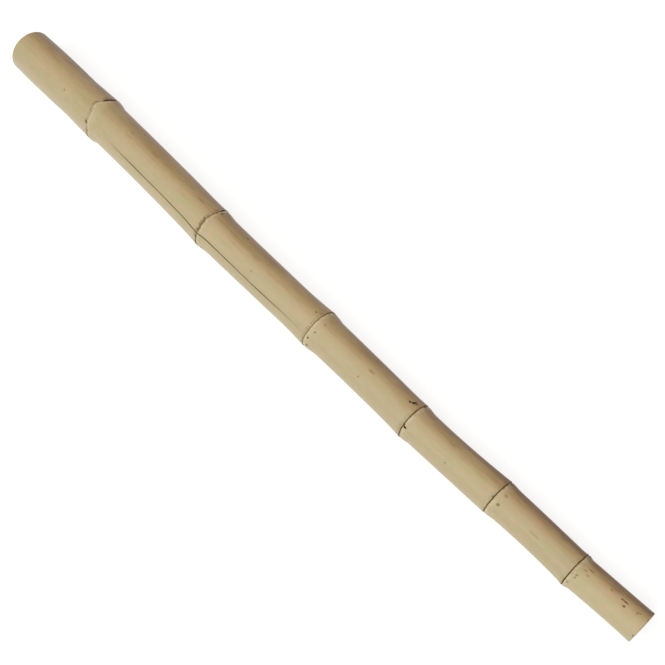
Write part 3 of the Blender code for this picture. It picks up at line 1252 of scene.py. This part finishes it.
    def patch_of(self, first: Loop, last: Loop) -> Patch:
        """Finds the part of the flat map that a band between two loops lies on.

        Args:
            first: The loop that the band starts at.
            last: The loop that it ends at.

        Returns:
            The patch.
        """
        thick = first.along < self.form.length / 2
        if first.on_skin and last.on_skin:
            skins = (Patch.LAST_SKIN, Patch.MIDDLE_SKIN, Patch.FIRST_SKIN)
            return next(patch for patch in skins if first.along >= patch.value[2])
        if abs(last.radius - first.radius) < self.lining_taper * abs(last.along - first.along):
            return Patch.THICK_LINING if thick else Patch.THIN_LINING
        if min(first.along, self.form.length - first.along) < self.inner_wall_fillet:
            return Patch.THICK_CUT if thick else Patch.THIN_CUT
        return Patch.THICK_WALL if thick else Patch.THIN_WALL

    def lay_flat(self, mesh: bmesh.types.BMesh, loops: list[Loop]) -> None:
        """Writes the flat map that the finishes are baked to, before the sheet is rolled up.

        Args:
            mesh: The sheet.
            loops: The culm's loops.
        """
        layer = mesh.loops.layers.uv.new("OFBake")
        turns = [self.turn_at(column) for column in range(self.columns + 1)]
        middles = [self.crack.angle_at(loop.along) for loop in loops]
        for face in mesh.faces:
            rows = [round(corner.vert.co.x) for corner in face.loops]
            patch = self.patch_of(loops[min(rows)], loops[max(rows)])
            for corner, row in zip(face.loops, rows):
                turn = turns[round(corner.vert.co.y)]
                loop = loops[row]
                corner[layer].uv = patch.spot(loop.along, loop.radius, turn, middles[row] + turn)

    def lay_cap(self, mesh: bmesh.types.BMesh, cap: bmesh.types.BMFace) -> None:
        """Writes the flat map of the small face that closes the middle of a wall.

        Args:
            mesh: The culm.
            cap: The face.
        """
        layer, place = mesh.loops.layers.uv["OFBake"], mesh.verts.layers.float_vector["stem_place"]
        for corner in cap.loops:
            along, side, up = corner.vert[place]
            patch = Patch.THICK_WALL if along < self.form.length / 2 else Patch.THIN_WALL
            corner[layer].uv = patch.spot(along, math.hypot(side, up), 0.0, math.atan2(up, side))

    def roll_loop(self, loop: Loop, angle: float, turn: float) -> Vector:
        """Places one point of a loop.

        Args:
            loop: The loop.
            angle: The angle round the stem, from +Y up to +Z.
            turn: The part of that angle past the crack.

        Returns:
            The point, in millimetres.
        """
        form = self.form
        side, height = form.middle_line(loop.along)
        radius = loop.radius * form.oval(loop.along, angle)
        shift = 0.0
        if loop.on_skin:
            shift = form.ledge_shift(loop.along, angle)
            radius -= form.worn_by(loop.along, angle)
            radius -= self.crack.depth_at(loop.along, turn * loop.radius)
        up = height + radius * math.sin(angle)
        return Vector((loop.along + shift, side + radius * math.cos(angle), max(up, 0.0)))

    def readings(self, loop: Loop, angle: float, turn: float) -> dict[str, float]:
        """Finds what the materials read at a point.

        Args:
            loop: The point's loop.
            angle: The angle round the stem, from +Y up to +Z.
            turn: The part of that angle past the crack.

        Returns:
            The values, by the names that the materials read them by.
        """
        ledge = self.form.nearest_ledge(loop.along)
        past = loop.along - ledge.along
        return {
            "past_ledge": past,
            "ledge_near": smooth(2 - abs(past) / self.ledge_view),
            "ledge_dark": ledge.dark,
            "ledge_stain": ledge.stain,
            "past_crack": abs(turn) * loop.radius,
            "crack_open": self.crack.open_at(loop.along),
            "wall_share": loop.wall_share,
            # How far round the point is towards +Y, away from the lamp, where the skin gets painted
            # shade.
            "shade_side": math.cos(angle),
        }

    def roll_up(self, mesh: bmesh.types.BMesh, loops: list[Loop]) -> None:
        """Rolls the flat sheet into the culm, and writes what its materials read at its points.

        Args:
            mesh: The sheet, and then the culm.
            loops: The culm's loops.
        """
        place = mesh.verts.layers.float_vector.new("stem_place")
        names = list(self.readings(loops[0], 0.0, 0.0))
        layers = [mesh.verts.layers.float.new(name) for name in names]
        sides = [vertex for vertex in mesh.verts if round(vertex.co.y) in (0, self.columns)]
        for vertex in mesh.verts:
            loop = loops[round(vertex.co.x)]
            turn = self.turn_at(round(vertex.co.y))
            angle = self.crack.angle_at(loop.along) + turn
            vertex.co = self.roll_loop(loop, angle, turn) * MM
            side, up = loop.radius * math.cos(angle), loop.radius * math.sin(angle)
            vertex[place] = Vector((loop.along, side, up))
            for layer, value in zip(layers, self.readings(loop, angle, turn).values()):
                vertex[layer] = value
        bmesh.ops.remove_doubles(mesh, verts=sides, dist=self.merge_distance)

    def build(self) -> bpy.types.Object:
        """Builds the culm's mesh, with the values that its materials read.

        Returns:
            The culm, without its materials.
        """
        loops = self.loops()
        mesh = bmesh.new()
        self.flat_sheet(mesh, len(loops))
        for face in mesh.faces:
            first = round(min(vertex.co.x for vertex in face.verts))
            face.material_index = loops[first].zone.value
            face.smooth = True
        self.lay_flat(mesh, loops)
        self.roll_up(mesh, loops)
        self.centre_outline(mesh)
        rims = [edge for edge in mesh.edges if edge.is_boundary]
        caps = bmesh.ops.holes_fill(mesh, edges=rims, sides=0)["faces"]
        for cap in caps:
            self.lay_cap(mesh, cap)
            cap.material_index = Zone.LINING.value
            cap.smooth = True
        bmesh.ops.recalc_face_normals(mesh, faces=mesh.faces)
        return put_in_scene(mesh, self.name)

    @staticmethod
    def centre_outline(mesh: bmesh.types.BMesh) -> None:
        """Moves the mesh so that the origin is under the middle of its outline.

        Args:
            mesh: The culm.
        """
        for axis in (0, 1):
            places = [vertex.co[axis] for vertex in mesh.verts]
            middle = (min(places) + max(places)) / 2
            for vertex in mesh.verts:
                vertex.co[axis] -= middle

    def dress(self, culm: bpy.types.Object) -> None:
        """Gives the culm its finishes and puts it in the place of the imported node.

        Args:
            culm: The culm, as built.
        """
        for finish in (DriedSkin(self.form), SawnWood(), HollowLining()):
            culm.data.materials.append(finish.material())
        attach(culm, "root")
        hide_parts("culm")


@dataclass(frozen=True)
class Studio:
    """A plain pale floor, plain soft light and the camera over the lying cane.

    The camera stands over the thin end and looks back along the cane, tilted from straight down.
    """

    floor_half_side: float = 30.0
    floor_drop: float = 0.05
    floor_roughness: float = 0.9
    floor_colour: Colour = (0.32, 0.32, 0.32)
    floor_glow: float = 0.76
    sky_near: float = 0.17
    sky_far: float = 0.02
    horizon: float = 0.81
    horizon_to: float = 0.22
    lamp_size: float = 3.0
    lamp_power: float = 41.0
    lamp_place: tuple[float, float, float] = (0.0, -0.42, 1.5)
    image_side: float = 665.0
    focal_pixels: float = 1000.0
    sensor: float = 36.0
    eye: tuple[float, float, float] = (283.2, 2.65, 621.7)
    thick_middle: tuple[float, float, float] = (-300.0, 0.63, 17.5)
    thin_middle: tuple[float, float, float] = (300.0, 1.21, 11.4)
    look_back: float = math.radians(21)
    image_turn: float = math.atan2(0.68602, 0.72758)

    def build_floor(self) -> bpy.types.Object:
        """Makes the floor under the cane.

        Returns:
            The floor.
        """
        mesh = bmesh.new()
        bmesh.ops.create_grid(mesh, x_segments=1, y_segments=1, size=self.floor_half_side)
        bmesh.ops.translate(mesh, verts=mesh.verts, vec=(0, 0, -self.floor_drop * MM))
        floor = put_in_scene(mesh, "floor")
        recipe = Recipe.for_surface("pale floor")
        recipe.feed(recipe.shader.inputs["Base Color"], recipe.opaque(self.floor_colour))
        recipe.feed(recipe.shader.inputs["Roughness"], self.floor_roughness)
        recipe.feed(recipe.shader.inputs["Emission Color"], (1.0, 1.0, 1.0, 1.0))
        recipe.feed(recipe.shader.inputs["Emission Strength"], self.floor_glow)
        floor.data.materials.append(recipe.owner)
        return floor

    def build_lights(self) -> None:
        """Makes the large soft lamp, and a dim sky that meets the floor at the horizon."""
        world = bpy.data.worlds.new("dim sky")
        recipe = Recipe(world)
        toward = recipe.add("ShaderNodeTexCoord").outputs["Generated"]
        away, height = recipe.parts(toward)[1:]
        level = recipe.ranged(away, -1, 1, self.sky_near, self.sky_far)
        level = level + recipe.ranged(height, 0, self.horizon_to, 1, 0) * (self.horizon - level)
        background = recipe.tree.nodes["Background"]
        recipe.feed(background.inputs["Color"], (1.0, 1.0, 1.0, 1.0))
        recipe.feed(background.inputs["Strength"], level)
        bpy.context.scene.world = world
        lamp = bpy.data.lights.new("soft lamp", "AREA")
        lamp.shape = "DISK"
        lamp.size = self.lamp_size
        lamp.energy = self.lamp_power
        holder = bpy.data.objects.new("soft lamp", lamp)
        holder.location = self.lamp_place
        holder.rotation_euler = (-Vector(self.lamp_place)).to_track_quat("-Z", "Y").to_euler()
        bpy.context.scene.collection.objects.link(holder)

    def build_camera(self) -> bpy.types.Object:
        """Makes the camera and sets it as the scene's.

        Returns:
            The camera.
        """
        along = (Vector(self.thin_middle) - Vector(self.thick_middle)).normalized()
        over = (Vector((0, 0, 1)) - along * along.z).normalized()
        side = over.cross(along)
        back, down = math.sin(self.look_back), math.cos(self.look_back)
        view = -over * down - along * back
        far = along * down - over * back
        right = far * math.cos(self.image_turn) + side * math.sin(self.image_turn)
        top = side * math.cos(self.image_turn) - far * math.sin(self.image_turn)
        data = bpy.data.cameras.new("camera")
        data.sensor_width = self.sensor
        data.lens = self.sensor * self.focal_pixels / self.image_side
        camera = bpy.data.objects.new("camera", data)
        turned = Matrix((right, top, -view)).transposed().to_4x4()
        camera.matrix_world = Matrix.Translation(Vector(self.eye) * MM) @ turned
        bpy.context.scene.collection.objects.link(camera)
        bpy.context.scene.camera = camera
        return camera

    def build(self) -> None:
        """Makes the floor, the lights and the camera, and shows colours as they are."""
        self.build_floor()
        self.build_lights()
        self.build_camera()
        bpy.context.scene.view_settings.view_transform = "Standard"


def main() -> None:
    """Builds the cane and the studio."""
    logging.basicConfig(level=logging.INFO)
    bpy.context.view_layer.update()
    cane = Culm()
    culm = cane.build()
    cane.dress(culm)
    LOG.info("%s: %d faces", culm.name, len(culm.data.polygons))
    Studio().build()


if __name__ == "__main__":
    main()
